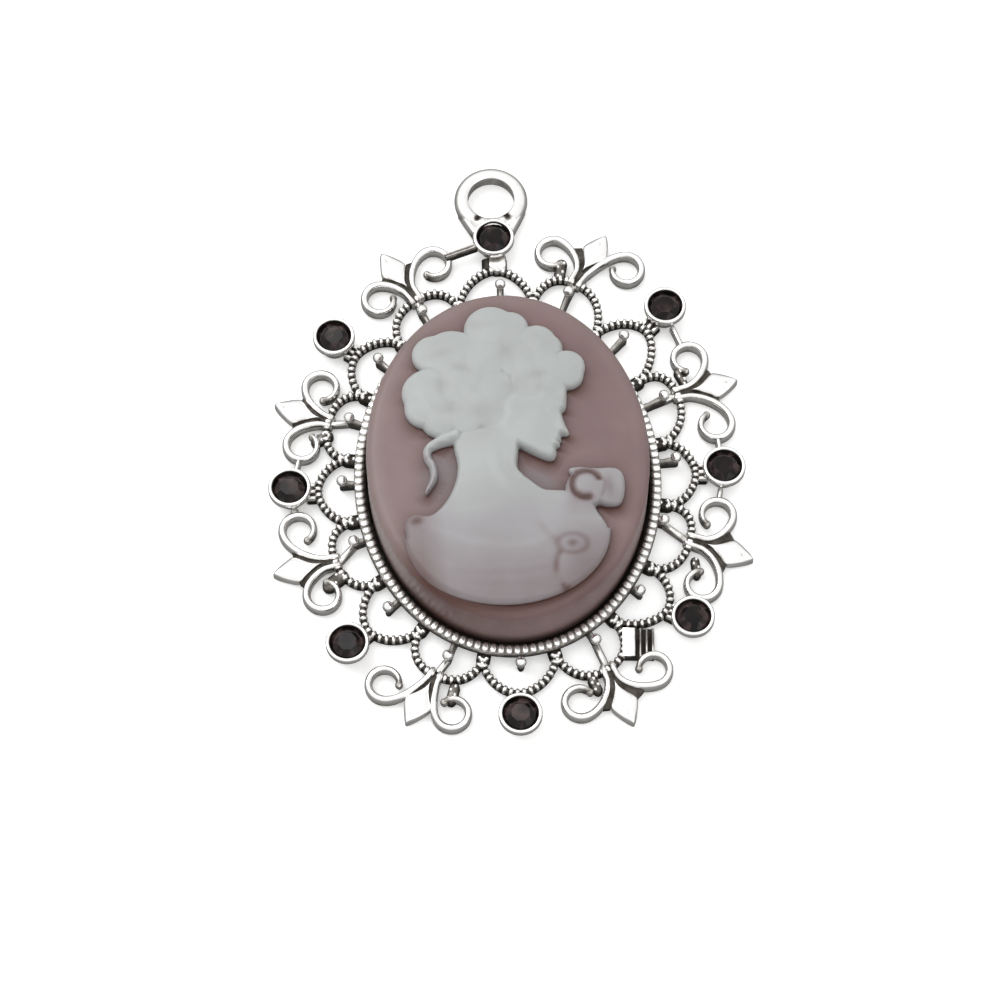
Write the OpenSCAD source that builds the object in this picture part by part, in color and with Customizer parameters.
// Oval portrait cameo in a cast filigree frame, with eight stones and a hanging loop.
// The back lies on z = 0, the front faces +Z and the loop is towards +Y.

/* [Cameo] */
// Width of the oval cameo
cameo_w = 30; // [27:0.1:33]
// Height of the oval cameo
cameo_l = 38.2; // [36:0.1:40]
// Thickness of the cameo at the edge of its face
cameo_t = 7.9; // [6.5:0.1:9]
// Rounding between the cameo's side and its face
cameo_edge_r = 1.2; // [0.8:0.1:1.8]
// Rise of the face from its edge to its middle
cameo_rise = 0.4; // [0.3:0.1:0.8]
// Bevel round the cameo's back edge
cameo_bevel = 0.4; // [0.2:0.1:0.8]

/* [Relief] */
// Height of the highest curl above the face of the cameo
relief_h = 1.9; // [1.2:0.1:2.4]
// Depth of the upright edge round the figure
relief_edge = 0.55; // [0.3:0.05:0.8]
// Glue line under the figure and under the cameo
glue_t = 0.05; // [0.03:0.01:0.1]
// Distance between the points of the relief's surface
relief_grid = 0.5; // [0.45:0.05:1]

/* [Setting] */
// Thickness of the tray's floor
floor_t = 0.85; // [0.6:0.05:1.2]
// Thickness of the wall round the cameo
wall_t = 0.9; // [0.8:0.05:1.3]
// Height of the setting from the back to the top of its teeth
setting_h = 2.6; // [2.4:0.1:3.2]
// Gap between the cameo and the wall
cameo_gap = 0.2; // [0.1:0.05:0.4]
// How far the rim stands out over the tray below it
rim_overhang = 0.4; // [0.2:0.05:0.5]
// How far the band under the teeth stands out beyond the wall
rim_lip = 0.4; // [0.2:0.05:0.5]
// Height of the plain band under the teeth
band_h = 0.8; // [0.6:0.05:1]
// Distance between two teeth of the milled rim
tooth_pitch = 0.84; // [0.75:0.01:1.1]
// Length of a tooth across the rim
tooth_l = 1.02; // [0.8:0.02:1.1]
// Height of a tooth
tooth_h = 0.5; // [0.3:0.05:0.8]
// Part of the pitch that a tooth fills
tooth_fill = 0.66; // [0.5:0.02:0.8]

/* [Beaded arches] */
// Width of the beaded wire
wire_w = 0.95; // [0.7:0.05:1.1]
// Distance between two beads
bead_pitch = 0.72; // [0.5:0.02:0.9]
// Height of the back of the beaded wire above the flat back
lace_z = 0.15; // [0.1:0.05:0.4]
// Thickness of the beaded wire
lace_t = 1.35; // [1.1:0.05:1.8]
// Distance from the wall to the point where two arches meet
joint_reach = 1.3; // [1:0.05:1.6]
// How much further out the topmost joints lie, and further in the lowest
joint_skew = 0.45; // [0:0.05:0.6]
// Diameter of a ball bud
bud_d = 1.2; // [1:0.05:1.5]
// Height of the middle of a bud above the flat back
bud_z = 2.1; // [1.2:0.1:2.4]
// Width of a bud's stem
stem_w = 0.8; // [0.4:0.05:0.9]

/* [Fleurs] */
// Width of a petal across its shoulders
petal_w = 3.2; // [2.8:0.1:3.5]
// Distance from a petal's tip back to its shoulders
petal_shoulder = 2.6; // [2.2:0.1:3]
// Distance from a petal's tip back to the point where its sides meet
petal_l = 5.3; // [4.8:0.1:5.4]
// Distance from a petal's tip back to the fork of its two scrolls
fork_l = 5.6; // [5.4:0.1:6]
// Radius of a scroll where it starts, to the middle of its rod
scroll_r = 1.85; // [1.7:0.05:2]
// Width of a scroll's rod where it is thickest
scroll_w = 0.9; // [0.8:0.05:1.1]
// Thickness of the metal that closes the grooves between a petal and its scrolls
groove_floor_t = 0.7; // [0.5:0.1:1]
// Height of the back of a fleur above the flat back
fleur_z = 0.3; // [0.2:0.05:0.5]
// Thickness of a scroll
scroll_t = 1.5; // [1.2:0.1:2]
// Thickness of a petal
petal_t = 1.3; // [1.1:0.1:1.8]

/* [Stones] */
// Diameter of a stone
stone_d = 3.6; // [3.2:0.1:3.8]
// Depth of a stone below its girdle
pavilion_h = 1.3; // [1:0.1:1.5]
// Height of a stone above its girdle
crown_h = 0.5; // [0.3:0.05:0.7]
// Thickness of a stone's girdle
girdle_t = 0.12; // [0.08:0.02:0.2]
// Gap between a stone and its cup
stone_gap = 0.05; // [0.03:0.01:0.1]
// Thickness of a cup's wall
cup_wall = 0.45; // [0.4:0.05:0.6]
// Height of a cup
cup_h = 2.9; // [2.7:0.1:3.4]
// Height of the upright rim of a cup, above its tapered foot
cup_rim_h = 0.8; // [0.6:0.1:1]
// Radius of a cup's foot as a share of its rim's
cup_foot = 0.66; // [0.6:0.02:0.9]
// Depth of a stone's girdle below its cup's rim
stone_depth = 0.5; // [0.4:0.05:0.7]

/* [Loop] */
// Diameter of the loop's hole
loop_hole_d = 5.2; // [4.4:0.1:5.4]
// Width of the loop's ring
loop_w = 1.5; // [1.2:0.05:1.8]
// Thickness of the loop's ring
loop_t = 1.9; // [1.7:0.1:2.3]
// Height of the back of the loop's ring above the flat back
loop_z = 0.6; // [0.2:0.1:0.9]
// Metal between the loop's hole and the top cup
loop_web = 0.3; // [0.2:0.05:0.8]
// Thickness of the shoulders between the ring and the top cup
shoulder_t = 1.6; // [1.2:0.1:1.8]

/* [Strut and block] */
// Width of the strut beside the top cup
strut_w = 0.85; // [0.6:0.05:1]
// Height of the back of the strut above the flat back
strut_z = 1.2; // [0.5:0.1:1.4]
// Thickness of the strut
strut_t = 1.1; // [0.8:0.1:1.6]
// Width of the ribbed block
block_w = 3.4; // [3:0.1:3.8]
// Width of the plain part of the ribbed block
block_pad = 1.4; // [1:0.1:1.6]
// Length of the ribbed block
block_l = 3.3; // [3:0.1:3.6]
// Thickness of the ribbed block
block_t = 1.3; // [1:0.1:1.4]

/* [Hidden] */

// Stations go round the wall anticlockwise from +X. A reach is measured outwards from the wall.
// Stone cups: angle, reach, length and width of the neck between the cup and its arch, angle and reach
// of the bud
ANGLE = 0;
REACH = 1;
NECK = 2;
NECK_W = 3;
CUP_BUD = [4, 5];
cups = [
    [-0.5, 7.2, 0.2, 2.3, 3.5, 2.2],
    [42.3, 8.98, 0.3, 2.1, 44.7, 3.3],
    [89.5, 9.2, 0.5, 2.8, 88.2, 3.5],
    [139.5, 7.54, 0.1, 2.1, 136.7, 2.1],
    [180, 7.3, 0.2, 2.3, 178.2, 1.7],
    [221, 7.65, 0.1, 2.1, 220.7, 1.7],
    [269.2, 7.1, 0.1, 2.1, 270.3, 1.2],
    [321.1, 7.62, 0.2, 2.1, 319.4, 1.25],
];
// Fleurs: angle, reach of the petal's tip, lean from square to the wall, distance from the tip to the foot,
// then for the scroll on the clockwise side and the one on the other side how far it lies back from the tip
// and out from the axis, and the angle and reach of the bud
LEAN = 2;
FOOT = 3;
BACK = [4, 6];
SIDE = [5, 7];
FLEUR_BUD = [8, 9];
fleurs = [
    [19.7, 11.35, -7, 7.2, 3.8, 4.5, 4.6, 3.8, 22.6, 2.95],
    [63.6, 12.77, -5, 7.2, 2.6, 4, 5, 3.95, 66.5, 4.2],
    [116.3, 11.87, 1.8, 7.3, 4.4, 4.1, 4.75, 3.25, 115.3, 3],
    [159.6, 10.35, -4, 6.6, 4.2, 3.55, 4.6, 3.6, 158.2, 1.9],
    [197.9, 10.75, -5.5, 7.2, 3.8, 4.45, 4.75, 3.45, 197.3, 1.5],
    [242.5, 10.47, -1.5, 6.7, 2.85, 4.1, 3.45, 3.6, 245.5, 1.95],
    [294.6, 11.36, -8.5, 7.2, 4.5, 4.1, 4.95, 4.3, 297.4, 1.5],
    [339.8, 11.15, -5, 7.5, 4.35, 4.4, 5.35, 3.7, 343.8, 0.95],
];
// Webs: fleur, then how far back from its tip and out from its axis the web starts and ends, and its width
web_rows = [
    [0, 6.1, 2.7, 5.7, 1, 0.9],
    [1, 5.4, 2.6, 7.1, 1.9, 1.3],
    [3, 5.7, 2.6, 6.8, 1.5, 1.3],
    [4, 5.5, 2.5, 7.2, 1.7, 1.6],
    [5, 4.6, 2.8, 6.1, 2.4, 1.2],
    [6, 5, -1.9, 6.3, -2, 1.1],
    [7, 5.2, -3.5, 5.9, -2, 1],
];
// Angles of the points where two arches meet, in one quarter of the oval
quarter_joints = [10, 31.3, 52.8, 76.9];
// Links between a cup and a scroll: number of the cup, number of the fleur, side of the fleur, width
links = [
    [0, 0, 0, 0.6], [0, 7, 1, 0.6], [1, 0, 1, 0.6], [7, 7, 0, 0.9],
    [4, 3, 1, 0.6], [4, 4, 0, 0.9],
];
// The ribbed block: number of the cup that it lies beside, its turn, and its place from that cup as
// shares of the cup's diameter
block_cup = 7;
block_turn = -4;
block_place = [-1.28, -0.46];
block_ribs = 3;

wall_a = cameo_w / 2 + cameo_gap + wall_t;
wall_b = cameo_l / 2 + cameo_gap + wall_t;
cup_r = stone_d / 2 + stone_gap + cup_wall;
oval_sides = 120;
sink = 0.12;

// Points, angles and lengths on an oval
function oval(a, b, t) = [a * cos(t), b * sin(t)];
function oval_outline(a, b) = [for (i = [0 : oval_sides - 1]) oval(a, b, 360 * i / oval_sides)];
function oval_normal(a, b, t) = atan2(a * sin(t), b * cos(t));
function station(t, reach) = oval(wall_a + reach, wall_b + reach, t);
function station_normal(t, reach) = oval_normal(wall_a + reach, wall_b + reach, t);
function heading(angle) = [cos(angle), sin(angle)];
function unit(v) = v / norm(v);
function left_of(v) = [-v.y, v.x];

// A path's running length, and points at even distances along it
function running(path) = [for (i = 0, s = 0; i < len(path);
    s = s + (i < len(path) - 1 ? norm(path[i + 1] - path[i]) : 0), i = i + 1) s];
function x_table(path, s) = [for (i = [0 : len(path) - 1]) [s[i], path[i].x]];
function y_table(path, s) = [for (i = [0 : len(path) - 1]) [s[i], path[i].y]];
function even(path, pitch) = let (
    s = running(path), total = s[len(s) - 1], n = round(total / pitch),
    tx = x_table(path, s), ty = y_table(path, s)
) [for (i = [0 : n]) [lookup(total * i / n, tx), lookup(total * i / n, ty)]];

// A strip along a path, with its own width at each point
function path_normal(path, i) =
    left_of(unit(path[min(i + 1, len(path) - 1)] - path[max(i - 1, 0)]));
function strip(path, widths) = concat(
    [for (i = [0 : len(path) - 1]) path[i] + path_normal(path, i) * widths[i] / 2],
    [for (i = [len(path) - 1 : -1 : 0]) path[i] - path_normal(path, i) * widths[i] / 2]);
function even_width(path, w) = [for (p = path) w];
function bezier(a, b, c, d, t) =
    a * pow(1 - t, 3) + 3 * b * t * pow(1 - t, 2) + 3 * c * t * t * (1 - t) + d * pow(t, 3);

module bar(a, b, w) {
    polygon(strip([a, b], [w, w]));
}

// Tray and milled rim: the band under the teeth stands out over the tray's own wall
module tray() {
    foot_h = setting_h - tooth_h - band_h;
    difference() {
        union() {
            linear_extrude(foot_h + sink)
                polygon(oval_outline(wall_a - rim_overhang, wall_b - rim_overhang));
            translate([0, 0, foot_h]) linear_extrude(band_h)
                polygon(oval_outline(wall_a + rim_lip, wall_b + rim_lip));
        }
        translate([0, 0, floor_t]) linear_extrude(setting_h)
            polygon(oval_outline(wall_a - wall_t, wall_b - wall_t));
    }
}

// A tooth seen from above: a bar with round ends
function tooth_outline(l, w) = [for (side = [0, 180], i = [-1 : 1])
    (l - w) / 2 * heading(side) + w / 2 * heading(side + i * 90)];

module rim_teeth() {
    mid_a = wall_a + rim_lip * 0.9 - tooth_l / 2;
    mid_b = wall_b + rim_lip * 0.9 - tooth_l / 2;
    round_trip = [for (i = [0 : oval_sides]) oval(mid_a, mid_b, 360 * i / oval_sides)];
    places = even(round_trip, tooth_pitch);
    translate([0, 0, setting_h - tooth_h - sink]) linear_extrude(tooth_h + sink)
        for (i = [0 : len(places) - 2])
            translate(places[i])
                rotate(oval_normal(mid_a, mid_b, atan2(places[i].y / mid_b, places[i].x / mid_a)))
                    polygon(tooth_outline(tooth_l, tooth_pitch * tooth_fill));
}

// Arches
function joint_angles() = [for (turn = [0, 180]) each concat(
    [for (t = quarter_joints) turn + t],
    [for (i = [len(quarter_joints) - 1 : -1 : 0]) turn + 180 - quarter_joints[i]])];
function joint_at(t) = station(t, joint_reach + joint_skew * sin(t));
function joint(i) = let (angles = joint_angles()) joint_at(angles[(i + len(angles)) % len(angles)]);
function cup_center(i) = station(cups[i][ANGLE], cups[i][REACH]);
function fleur_tip(i) = station(fleurs[i][ANGLE], fleurs[i][REACH]);
function fleur_angle(i) = station_normal(fleurs[i][ANGLE], fleurs[i][REACH]) + fleurs[i][LEAN];
function fleur_foot(i) = fleur_tip(i) - fleurs[i][FOOT] * heading(fleur_angle(i));

// An arch from one joint to the next, with its crest at a given point: round, square or pointed by its power
arch_steps = 20;
cup_arch_power = 1.12;
fleur_arch_power = 0.85;
function arch(a, b, crest, power) = let (mid = (a + b) / 2) [for (i = [0 : arch_steps])
    let (t = 180 * i / arch_steps, c = cos(t))
    mid + (a - mid) * sign(c) * pow(abs(c), power) + (crest - mid) * pow(sin(t), power)];
function cup_crest(i) = let (
    mid = (joint(2 * i - 1) + joint(2 * i)) / 2, way = unit(mid - cup_center(i))
) cup_center(i) + way * (cup_r + cups[i][NECK] + wire_w / 2);
function fleur_crest(i) = fleur_foot(i) + heading(fleur_angle(i)) * wire_w * 0.4;

module beaded_wire(path) {
    polygon(strip(path, even_width(path, wire_w * 0.72)));
    for (p = even(path, bead_pitch)) translate(p) circle(d = wire_w, $fn = 8);
}

module arches() {
    translate([0, 0, lace_z]) linear_extrude(lace_t) offset(delta = 0.01) difference() {
        union() {
            for (i = [0 : len(cups) - 1]) {
                beaded_wire(arch(joint(2 * i - 1), joint(2 * i), cup_crest(i), cup_arch_power));
                bar(cup_crest(i), cup_center(i), cups[i][NECK_W]);
            }
            for (i = [0 : len(fleurs) - 1])
                beaded_wire(arch(joint(2 * i), joint(2 * i + 1), fleur_crest(i), fleur_arch_power));
            for (t = joint_angles())
                bar(station(t, -wall_t * 0.8), joint_at(t), wire_w * 1.6);
        }
        polygon(oval_outline(wall_a - wall_t * 0.8, wall_b - wall_t * 0.8));
    }
}

// Buds on their stems, from the wall to the foot of each fleur or into each cup's arch
function bud_place(row, columns) = station(row[columns[0]], row[columns[1]]);

module buds() {
    for (c = cups) bud(c[CUP_BUD[0]], bud_place(c, CUP_BUD));
    for (i = [0 : len(fleurs) - 1]) {
        bud(fleurs[i][FLEUR_BUD[0]], bud_place(fleurs[i], FLEUR_BUD));
        translate([0, 0, lace_z + sink]) linear_extrude(lace_t * 0.6)
            bar(bud_place(fleurs[i], FLEUR_BUD), fleur_foot(i), stem_w);
    }
}

module bud(t, middle) {
    translate([0, 0, lace_z + sink]) linear_extrude(bud_z - lace_z - sink)
        bar(station(t, -wall_t * 0.62), middle, stem_w);
    translate([each middle, bud_z]) sphere(d = bud_d, $fn = 12);
}

// Fleurs, drawn with the petal's tip at the origin and the petal pointing along +X
petal_steps = 6;
function petal_half(x) = petal_w / 2 * (x < petal_shoulder ? pow(x / petal_shoulder, 0.75)
    : pow((petal_l - x) / (petal_l - petal_shoulder), 1.5));
function petal_outline() = let (xs = concat(
    [for (i = [0 : petal_steps]) petal_shoulder * i / petal_steps],
    [for (i = [1 : petal_steps - 2]) petal_shoulder + (petal_l - petal_shoulder) * i / (petal_steps - 1)]
)) concat(
    [for (x = xs) [-x, petal_half(x)]], [[-petal_l, 0]],
    [for (i = [len(xs) - 1 : -1 : 1]) [-xs[i], -petal_half(xs[i])]]);

// A scroll's rod: from the foot to the fork, along its petal's side and over, then round, ever tighter
lead_steps = 7;
curl_steps = 14;
curl_from = 90;
curl_to = 335;
curl_tighten = 0.22;
fork_turn = 15;
arm_w = 0.7;
fork_out = 0.6;
foot_out = 0.5;
function curl_point(center, side, t) = let (
    r = scroll_r * (1 - curl_tighten * pow(t / curl_to, 2))
) center + r * [sin(t), -side * cos(t)];
function scroll_path(i, side) = let (
    s = 2 * side - 1,
    center = [-fleurs[i][BACK[side]], s * fleurs[i][SIDE[side]]],
    fork = [-fork_l, s * fork_out],
    landing = curl_point(center, s, curl_from),
    pull = norm(landing - fork) / 3
) concat(
    [[-fleurs[i][FOOT], s * foot_out]],
    [for (k = [0 : lead_steps - 1]) bezier(fork, fork + pull * heading(s * fork_turn),
        landing - pull * heading(s * curl_from), landing, k / lead_steps)],
    [for (k = [0 : curl_steps])
        curl_point(center, s, curl_from + (curl_to - curl_from) * k / curl_steps)]);
function scroll_widths() = [for (k = [-1 : lead_steps + curl_steps]) scroll_w * (k < lead_steps
    ? arm_w + (1 - arm_w) * (k + 1) / (lead_steps + 1)
    : 1 - 0.3 * (k - lead_steps) / curl_steps)];

module at_fleur(i) {
    translate(fleur_tip(i)) rotate(fleur_angle(i)) children();
}

module scrolls() {
    translate([0, 0, fleur_z]) linear_extrude(scroll_t) offset(delta = 0.01) union() {
        for (i = [0 : len(fleurs) - 1]) at_fleur(i) for (side = [0, 1]) {
            path = scroll_path(i, side);
            polygon(strip(path, scroll_widths()));
            translate(path[len(path) - 1]) circle(d = scroll_w * 0.95, $fn = 10);
        }
        for (l = links) link(l[0], l[1], l[2], l[3]);
    }
}

function scroll_center(i, side) = let (
    a = fleur_angle(i), s = side == 0 ? -1 : 1
) fleur_tip(i) - fleurs[i][BACK[side]] * heading(a) + s * fleurs[i][SIDE[side]] * left_of(heading(a));

// A link runs from inside a cup's wall to the middle of a scroll's rod
module link(cup, fleur, side, w) {
    way = unit(scroll_center(fleur, side) - cup_center(cup));
    bar(cup_center(cup) + way * (cup_r - cup_wall / 2),
        scroll_center(fleur, side) - way * scroll_r * 0.78, w);
}

// The strut stands higher than the links
module strut() {
    translate([0, 0, strut_z]) linear_extrude(strut_t) link(2, 2, 0, strut_w);
}

// A web from the end of a scroll down to the arch beside it
module webs() {
    translate([0, 0, lace_z + sink / 2]) linear_extrude(lace_t)
        for (w = web_rows) at_fleur(w[0]) bar([-w[1], w[2]], [-w[3], w[4]], w[5]);
}

module petals() {
    translate([0, 0, fleur_z + sink]) linear_extrude(petal_t) offset(delta = 0.01)
        for (i = [0 : len(fleurs) - 1]) at_fleur(i) polygon(petal_outline());
}

// Metal under the grooves between a petal and its two scrolls
module groove_floors() {
    translate([0, 0, fleur_z + sink]) linear_extrude(groove_floor_t) offset(delta = 0.01)
        for (i = [0 : len(fleurs) - 1]) at_fleur(i) for (side = [0, 1]) {
            path = scroll_path(i, side);
            polygon(concat([for (k = [0 : lead_steps - 1]) path[k]], [
                [-petal_shoulder, (side - 0.5) * petal_w * 0.96],
                [-petal_shoulder - 1, (0.5 - side) * 0.4],
                [-fleurs[i][FOOT], (0.5 - side) * 0.4]]));
        }
}

// Cups
module cup_body(i) {
    foot_h = cup_h - cup_rim_h - lace_z;
    translate([each cup_center(i), lace_z]) {
        cylinder(r1 = cup_r * cup_foot, r2 = cup_r, h = foot_h, $fn = 48);
        translate([0, 0, foot_h]) cylinder(r = cup_r, h = cup_rim_h, $fn = 48);
    }
}

// Room for the stone: straight down to its girdle, then a cone under its pavilion
module cup_hollow(i) {
    seat_z = cup_h - stone_depth - girdle_t;
    seat_r = stone_d / 2 + stone_gap;
    translate([each cup_center(i), seat_z - stone_gap]) {
        cylinder(r = seat_r, h = cup_h, $fn = 48);
        translate([0, 0, -pavilion_h]) cylinder(r1 = stone_gap, r2 = seat_r, h = pavilion_h, $fn = 48);
    }
}

// Loop
function loop_center() = cup_center(2) + [0, cup_r + loop_web + loop_hole_d / 2];

module loop_ring() {
    r = loop_hole_d / 2;
    translate(loop_center()) rotate_extrude($fn = 72) intersection() {
        translate([r + loop_w - loop_t / 2, loop_z + loop_t / 2]) circle(d = loop_t, $fn = 48);
        translate([r - sink, 0]) square([loop_w * 2, loop_z + loop_t * 2]);
    }
}

// The ring's sides run on down to the top cup
shoulder_turn = 22;
module loop_shoulders() {
    r = loop_hole_d / 2 + loop_w - 0.05;
    translate([0, 0, loop_z]) linear_extrude(shoulder_t) polygon([
        for (a = [-shoulder_turn, 180 + shoulder_turn]) loop_center() + r * heading(a),
        for (a = [180 - shoulder_turn, shoulder_turn]) cup_center(2) + (cup_r - 0.05) * heading(a)]);
}

module loop_hole() {
    translate([each loop_center(), -1]) cylinder(d = loop_hole_d, h = cup_h + 2, $fn = 72);
}

// Ribbed block: grooves beside a plain part
module block() {
    place = cup_center(block_cup) + 2 * cup_r * block_place;
    rib = (block_w - block_pad) / (2 * block_ribs);
    translate([place.x, place.y, lace_z + sink / 2]) rotate(block_turn) difference() {
        translate([-block_w / 2, -block_l / 2, 0]) cube([block_w, block_l, block_t]);
        for (i = [0 : block_ribs - 1])
            translate([block_pad - block_w / 2 + rib * 2 * i, -block_l, block_t * 0.6])
                cube([rib, block_l * 2, block_t]);
    }
}

module frame() {
    color("silver") difference() {
        union() {
            tray();
            rim_teeth();
            arches();
            buds();
            scrolls();
            petals();
            groove_floors();
            webs();
            strut();
            for (i = [0 : len(cups) - 1]) cup_body(i);
            loop_ring();
            loop_shoulders();
            block();
        }
        for (i = [0 : len(cups) - 1]) cup_hollow(i);
        loop_hole();
    }
}

// Cameo: ovals from the back, round the edge and up to the middle of the face
cameo_a = cameo_w / 2;
cameo_b = cameo_l / 2;
cameo_z = floor_t + glue_t;
cameo_sides = 72;
edge_steps = 7;
dome_steps = 5;
function dome(share) = cameo_z + cameo_t + cameo_rise * (1 - share * share);
function face_z(x, y) =
    dome(norm([x / (cameo_a - cameo_edge_r), y / (cameo_b - cameo_edge_r)]));
function edge_slice(t) = let (inset = cameo_edge_r * (1 - cos(t)))
    [cameo_a - inset, cameo_b - inset, cameo_z + cameo_t - cameo_edge_r * (1 - sin(t))];
function dome_slice(share) =
    [(cameo_a - cameo_edge_r) * share, (cameo_b - cameo_edge_r) * share, dome(share)];
cameo_slices = concat(
    [[cameo_a - cameo_bevel, cameo_b - cameo_bevel, cameo_z]],
    [[cameo_a, cameo_b, cameo_z + cameo_bevel]],
    [for (i = [0 : edge_steps]) edge_slice(90 * i / edge_steps)],
    [for (i = [dome_steps - 1 : -1 : 1]) dome_slice(i / dome_steps)]);

module cameo_body(raise) {
    n = cameo_sides;
    last = len(cameo_slices) - 1;
    function at(k, i) = k * n + i % n;
    points = concat(
        [for (s = cameo_slices, i = [0 : n - 1]) [each oval(s.x, s.y, 360 * i / n), s.z + raise]],
        [[0, 0, cameo_z + cameo_t + cameo_rise + raise]]);
    polyhedron(points, concat(
        [[for (i = [0 : n - 1]) i]],
        [for (k = [0 : last - 1], i = [0 : n - 1]) [at(k + 1, i), at(k + 1, i + 1), at(k, i + 1)]],
        [for (k = [0 : last - 1], i = [0 : n - 1]) [at(k + 1, i), at(k, i + 1), at(k, i)]],
        [for (i = [0 : n - 1]) [at(last, i), len(points) - 1, at(last, i + 1)]]));
}

module cameo_base() {
    color("rosybrown") cameo_body(0);
}

// Relief. Its tables are drawn on a cameo of this size and follow the real one.
drawn_w = 30;
drawn_l = 38.2;
drop = 0.9;
function on_cameo(p) = [p.x * cameo_w / drawn_w, (p.y - drop) * cameo_l / drawn_l];

// Mounds of the figure: place, half length and half width, turn, height as a share of relief_h
hair_mounds = [
    [-1.0, 15.0, 2.9, 2.9, 0, 0.92], [1.2, 15.2, 1.9, 1.9, 0, 0.8],
    [-5.4, 12.2, 3.0, 3.0, 0, 0.9], [-7.3, 12.4, 2.3, 2.3, 0, 0.75],
    [-8.2, 7.9, 2.7, 2.7, 0, 0.85], [-8.3, 6.1, 2.4, 2.4, 0, 0.75],
    [-6.8, 4.6, 2.2, 2.2, 0, 0.85], [3.9, 13.2, 2.1, 2.1, 0, 0.85],
    [5.0, 12.5, 1.6, 1.6, 0, 0.75], [7.0, 10.2, 1.85, 1.85, 0, 0.75],
    [6.8, 9.2, 1.8, 1.8, 0, 0.8], [-1.8, 11.3, 2.9, 2.6, 20, 1.0],
    [1.8, 10.8, 2.6, 2.3, -20, 0.97], [-4.6, 8.2, 2.8, 2.5, 30, 1.0],
    [-1.0, 7.6, 2.4, 2.1, 10, 0.98], [2.6, 8.2, 2.2, 1.9, 0, 0.92],
    [4.6, 10.3, 2.2, 1.8, -30, 0.9], [-4.2, 4.4, 2.3, 2.1, 0, 0.95],
    [-1.7, 4.6, 1.9, 1.8, 0, 0.85], [4.6, 8.0, 2.0, 1.2, -35, 0.8],
];
body_mounds = [
    [1.6, 3.6, 6.6, 6.2, -14, 0.66], [2.6, 1.6, 3.4, 3.0, -20, 0.62],
    [-2.0, -2.2, 5.2, 8.0, -12, 0.6], [-0.5, -9.8, 11.6, 9.2, 0, 0.72],
    [-8.4, -8.4, 4.0, 3.4, 20, 0.6], [6.4, -9.4, 4.6, 5.4, 10, 0.7],
    [7.9, -4.3, 2.6, 2.6, 0, 0.75], [10.4, -4.0, 2.3, 3.0, 0, 0.65],
    [-6.5, -11.5, 4.6, 0.8, 125, 0.72], [-3.5, -12.5, 4.8, 0.8, 115, 0.74], [0.2, -12.8, 4.6, 0.8, 95, 0.74],
    [3.6, -12.2, 4.2, 0.75, 75, 0.76], [6.6, -10.8, 3.8, 0.7, 60, 0.78],
];
// Outline of the face, from hairline to jaw: distance down the face and distance forward, as shares
// of the face's length
face_length = 9;
face_tilt = 14;
face_top = [6.6, 7.8];
face_line = [
    [-0.1, -0.1], [0, 0], [0.12, 0.035], [0.27, 0.05], [0.36, 0.022], [0.5, 0.085], [0.61, 0.15],
    [0.655, 0.13], [0.675, 0.06], [0.73, 0.075], [0.765, 0.05], [0.8, 0.07], [0.855, 0.03],
    [0.92, 0.055], [0.985, 0.03], [1.0, -0.05], [0.93, -0.35], [0.84, -0.52],
];
// Mounds of the face: distance down and forward as shares of the face's length, half length and half
// width, turn, height as a share of relief_h
face_mounds = [
    [0.16, -0.2, 2.0, 1.4, 76, 0.8], [0.33, -0.1, 0.9, 0.45, 60, 0.82], [0.4, -0.17, 0.55, 0.32, -10, 0.8],
    [0.6, -0.3, 1.6, 1.3, 60, 0.82], [0.48, -0.01, 1.5, 0.5, 66, 0.8], [0.61, -0.01, 0.55, 0.42, 0, 0.82],
    [0.72, -0.03, 0.55, 0.3, -10, 0.8], [0.79, -0.04, 0.5, 0.3, -10, 0.8], [0.92, -0.09, 0.9, 0.75, 40, 0.8],
    [0.84, -0.4, 2.2, 0.9, 20, 0.72],
];
function face_point(p) = face_top
    + face_length * (p.x * heading(-90 - face_tilt) + p.y * heading(-face_tilt));
// Neck and shoulders, the lock behind the neck and the flower on the shoulder
neck_line = [
    [-5.2, 2.6], [-5.4, -1], [-5.8, -3], [-6.8, -5], [-8.2, -6.4], [-9.3, -6.5], [-10.3, -6.4], [-11.1, -7],
    [-11.2, -9], [9.9, -9], [9.6, -8.2], [9, -7.2], [8.4, -6.2], [6, -4.7], [4.3, -4.4], [3.4, -4.2],
    [2.2, -3.2], [1.3, -2.3], [0.9, -1.4], [1.15, 0.7], [1.2, 3],
];
bust_place = [-0.6, -8.8];
bust_half = [10.75, 8.1];
sleeve = [-10, -7.6, 1.25];
flower = [7.9, -4.4, 2.2];
leaf_line = [
    [6.2, -2.3], [7.2, -1.8], [9, -2.05], [11, -2.1], [11.9, -2.8], [12, -4.5], [11.5, -6.1],
    [10.5, -6.5], [9.2, -6.2], [8, -5],
];
lock_path = [[-5.5, 2.4], [-7, 2], [-8.3, 1.3], [-8.5, 0.3], [-8, -0.9], [-8, -2.3], [-8.8, -3.8]];
lock_widths = [1.6, 1.3, 1.0, 0.9, 0.85, 0.8, 0.4];
smooth_power = 3;
figure_mounds = concat(hair_mounds, body_mounds,
    [for (m = face_mounds) let (c = face_point([m[0], m[1]])) [c.x, c.y, m[2], m[3], m[4], m[5]]]);

function mound(m, p) = let (
    d = on_cameo([m[0], m[1]]) - p, c = cos(m[4]), s = sin(m[4]),
    u = (d.x * c + d.y * s) / m[2], v = (d.y * c - d.x * s) / m[3]
) m[5] * sqrt(max(0, 1 - u * u - v * v));
function field(p) = let (all = [for (m = figure_mounds) pow(mound(m, p), smooth_power)])
    relief_edge + (relief_h - relief_edge) * pow(all * [for (a = all) 1], 1 / smooth_power) * 0.8;

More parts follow.
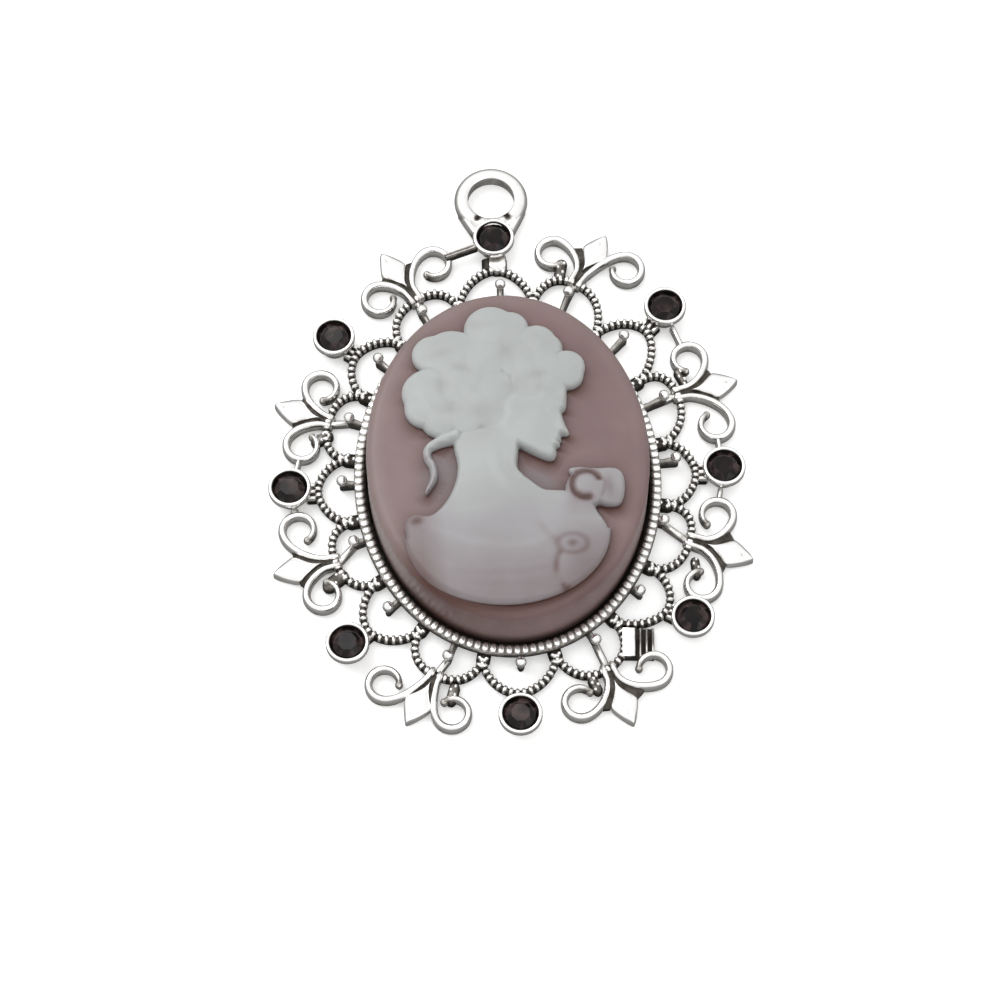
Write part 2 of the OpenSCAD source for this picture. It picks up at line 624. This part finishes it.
// Outline of the figure, with the narrow clefts between its parts closed
cleft = 0.2;
module relief_outline() {
    offset(r = -cleft, $fn = 8) offset(r = cleft, $fn = 8)
    scale([cameo_w / drawn_w, cameo_l / drawn_l]) translate([0, -drop]) {
        for (m = hair_mounds) translate([m[0], m[1]]) circle(r = (m[2] + m[3]) / 2, $fn = 24);
        polygon(concat([for (p = face_line) face_point(p)], [[-3, 3], [-2, 8]]));
        polygon(neck_line);
        intersection() {
            translate(bust_place) scale(bust_half) circle(r = 1, $fn = 64);
            translate([bust_place.x - bust_half.x, bust_place.y - bust_half.y])
                square([bust_half.x * 2, bust_half.y]);
        }
        translate([sleeve[0], sleeve[1]]) circle(r = sleeve[2], $fn = 20);
        translate([flower[0], flower[1]]) circle(r = flower[2], $fn = 24);
        polygon(leaf_line);
        polygon(strip(lock_path, lock_widths));
    }
}

// The relief's surface over a grid of points, closed by a flat back inside the cameo
module relief_surface() {
    nx = ceil(cameo_w / relief_grid);
    ny = ceil(cameo_l / relief_grid);
    function place(i, j) = [(i / nx - 0.5) * cameo_w, (j / ny - 0.5) * cameo_l];
    function at(i, j) = i * (ny + 1) + j;
    under = (nx + 1) * (ny + 1);
    round_trip = concat(
        [for (i = [0 : nx - 1]) [i, 0]], [for (j = [0 : ny - 1]) [nx, j]],
        [for (i = [nx : -1 : 1]) [i, ny]], [for (j = [ny : -1 : 1]) [0, j]]);
    n = len(round_trip);
    points = concat(
        [for (i = [0 : nx], j = [0 : ny]) let (p = place(i, j)) [p.x, p.y, face_z(p.x, p.y) + field(p)]],
        [for (r = round_trip) [each place(r[0], r[1]), cameo_z + cameo_t / 2]]);
    faces = concat(
        [for (i = [0 : nx - 1], j = [0 : ny - 1]) [at(i, j), at(i, j + 1), at(i + 1, j + 1)]],
        [for (i = [0 : nx - 1], j = [0 : ny - 1]) [at(i, j), at(i + 1, j + 1), at(i + 1, j)]],
        [for (k = [0 : n - 1]) let (r = round_trip[k], q = round_trip[(k + 1) % n])
            [at(r[0], r[1]), at(q[0], q[1]), under + (k + 1) % n, under + k]],
        [[for (k = [0 : n - 1]) under + k]]);
    polyhedron(points, faces, convexity = 6);
}

// Resized by nothing, so that the figure stays one body of small facets
module cameo_relief() {
    color("gainsboro") resize([0, 0, 0]) difference() {
        intersection() {
            relief_surface();
            linear_extrude(setting_h + cameo_t + relief_h) relief_outline();
        }
        cameo_body(glue_t);
    }
}

// Stones
facets = 8;
table_share = 0.56;
function ring_points(r, z, n, turn) = [for (i = [0 : n - 1]) [each r * heading(360 * i / n + turn), z]];
module stone() {
    r = stone_d / 2;
    n = facets;
    points = concat(
        ring_points(r * table_share, crown_h, n, 180 / n),
        ring_points(r, 0, 2 * n, 0),
        ring_points(r, -girdle_t, 2 * n, 0),
        [[0, 0, -girdle_t - pavilion_h]]);
    top = n;
    low = 3 * n;
    tip = 5 * n;
    faces = concat(
        [[for (i = [n - 1 : -1 : 0]) i]],
        [for (i = [0 : n - 1]) [i, (i + 1) % n, top + (2 * i + 2) % (2 * n)]],
        [for (i = [0 : n - 1]) [i, top + (2 * i + 2) % (2 * n), top + 2 * i + 1]],
        [for (i = [0 : n - 1]) [i, top + 2 * i + 1, top + 2 * i]],
        [for (i = [0 : 2 * n - 1]) [top + i, top + (i + 1) % (2 * n), low + (i + 1) % (2 * n), low + i]],
        [for (i = [0 : 2 * n - 1]) [low + i, low + (i + 1) % (2 * n), tip]]);
    polyhedron(points, faces);
}

module cup_stone(i) {
    color("darkslategray")
        translate([each cup_center(i), cup_h - stone_depth]) rotate(cups[i][ANGLE]) stone();
}

frame();
cameo_base();
cameo_relief();
cup_stone(0);  // stone_right
cup_stone(1);  // stone_upper_right
cup_stone(2);  // stone_top
cup_stone(3);  // stone_upper_left
cup_stone(4);  // stone_left
cup_stone(5);  // stone_lower_left
cup_stone(6);  // stone_bottom
cup_stone(7);  // stone_lower_right
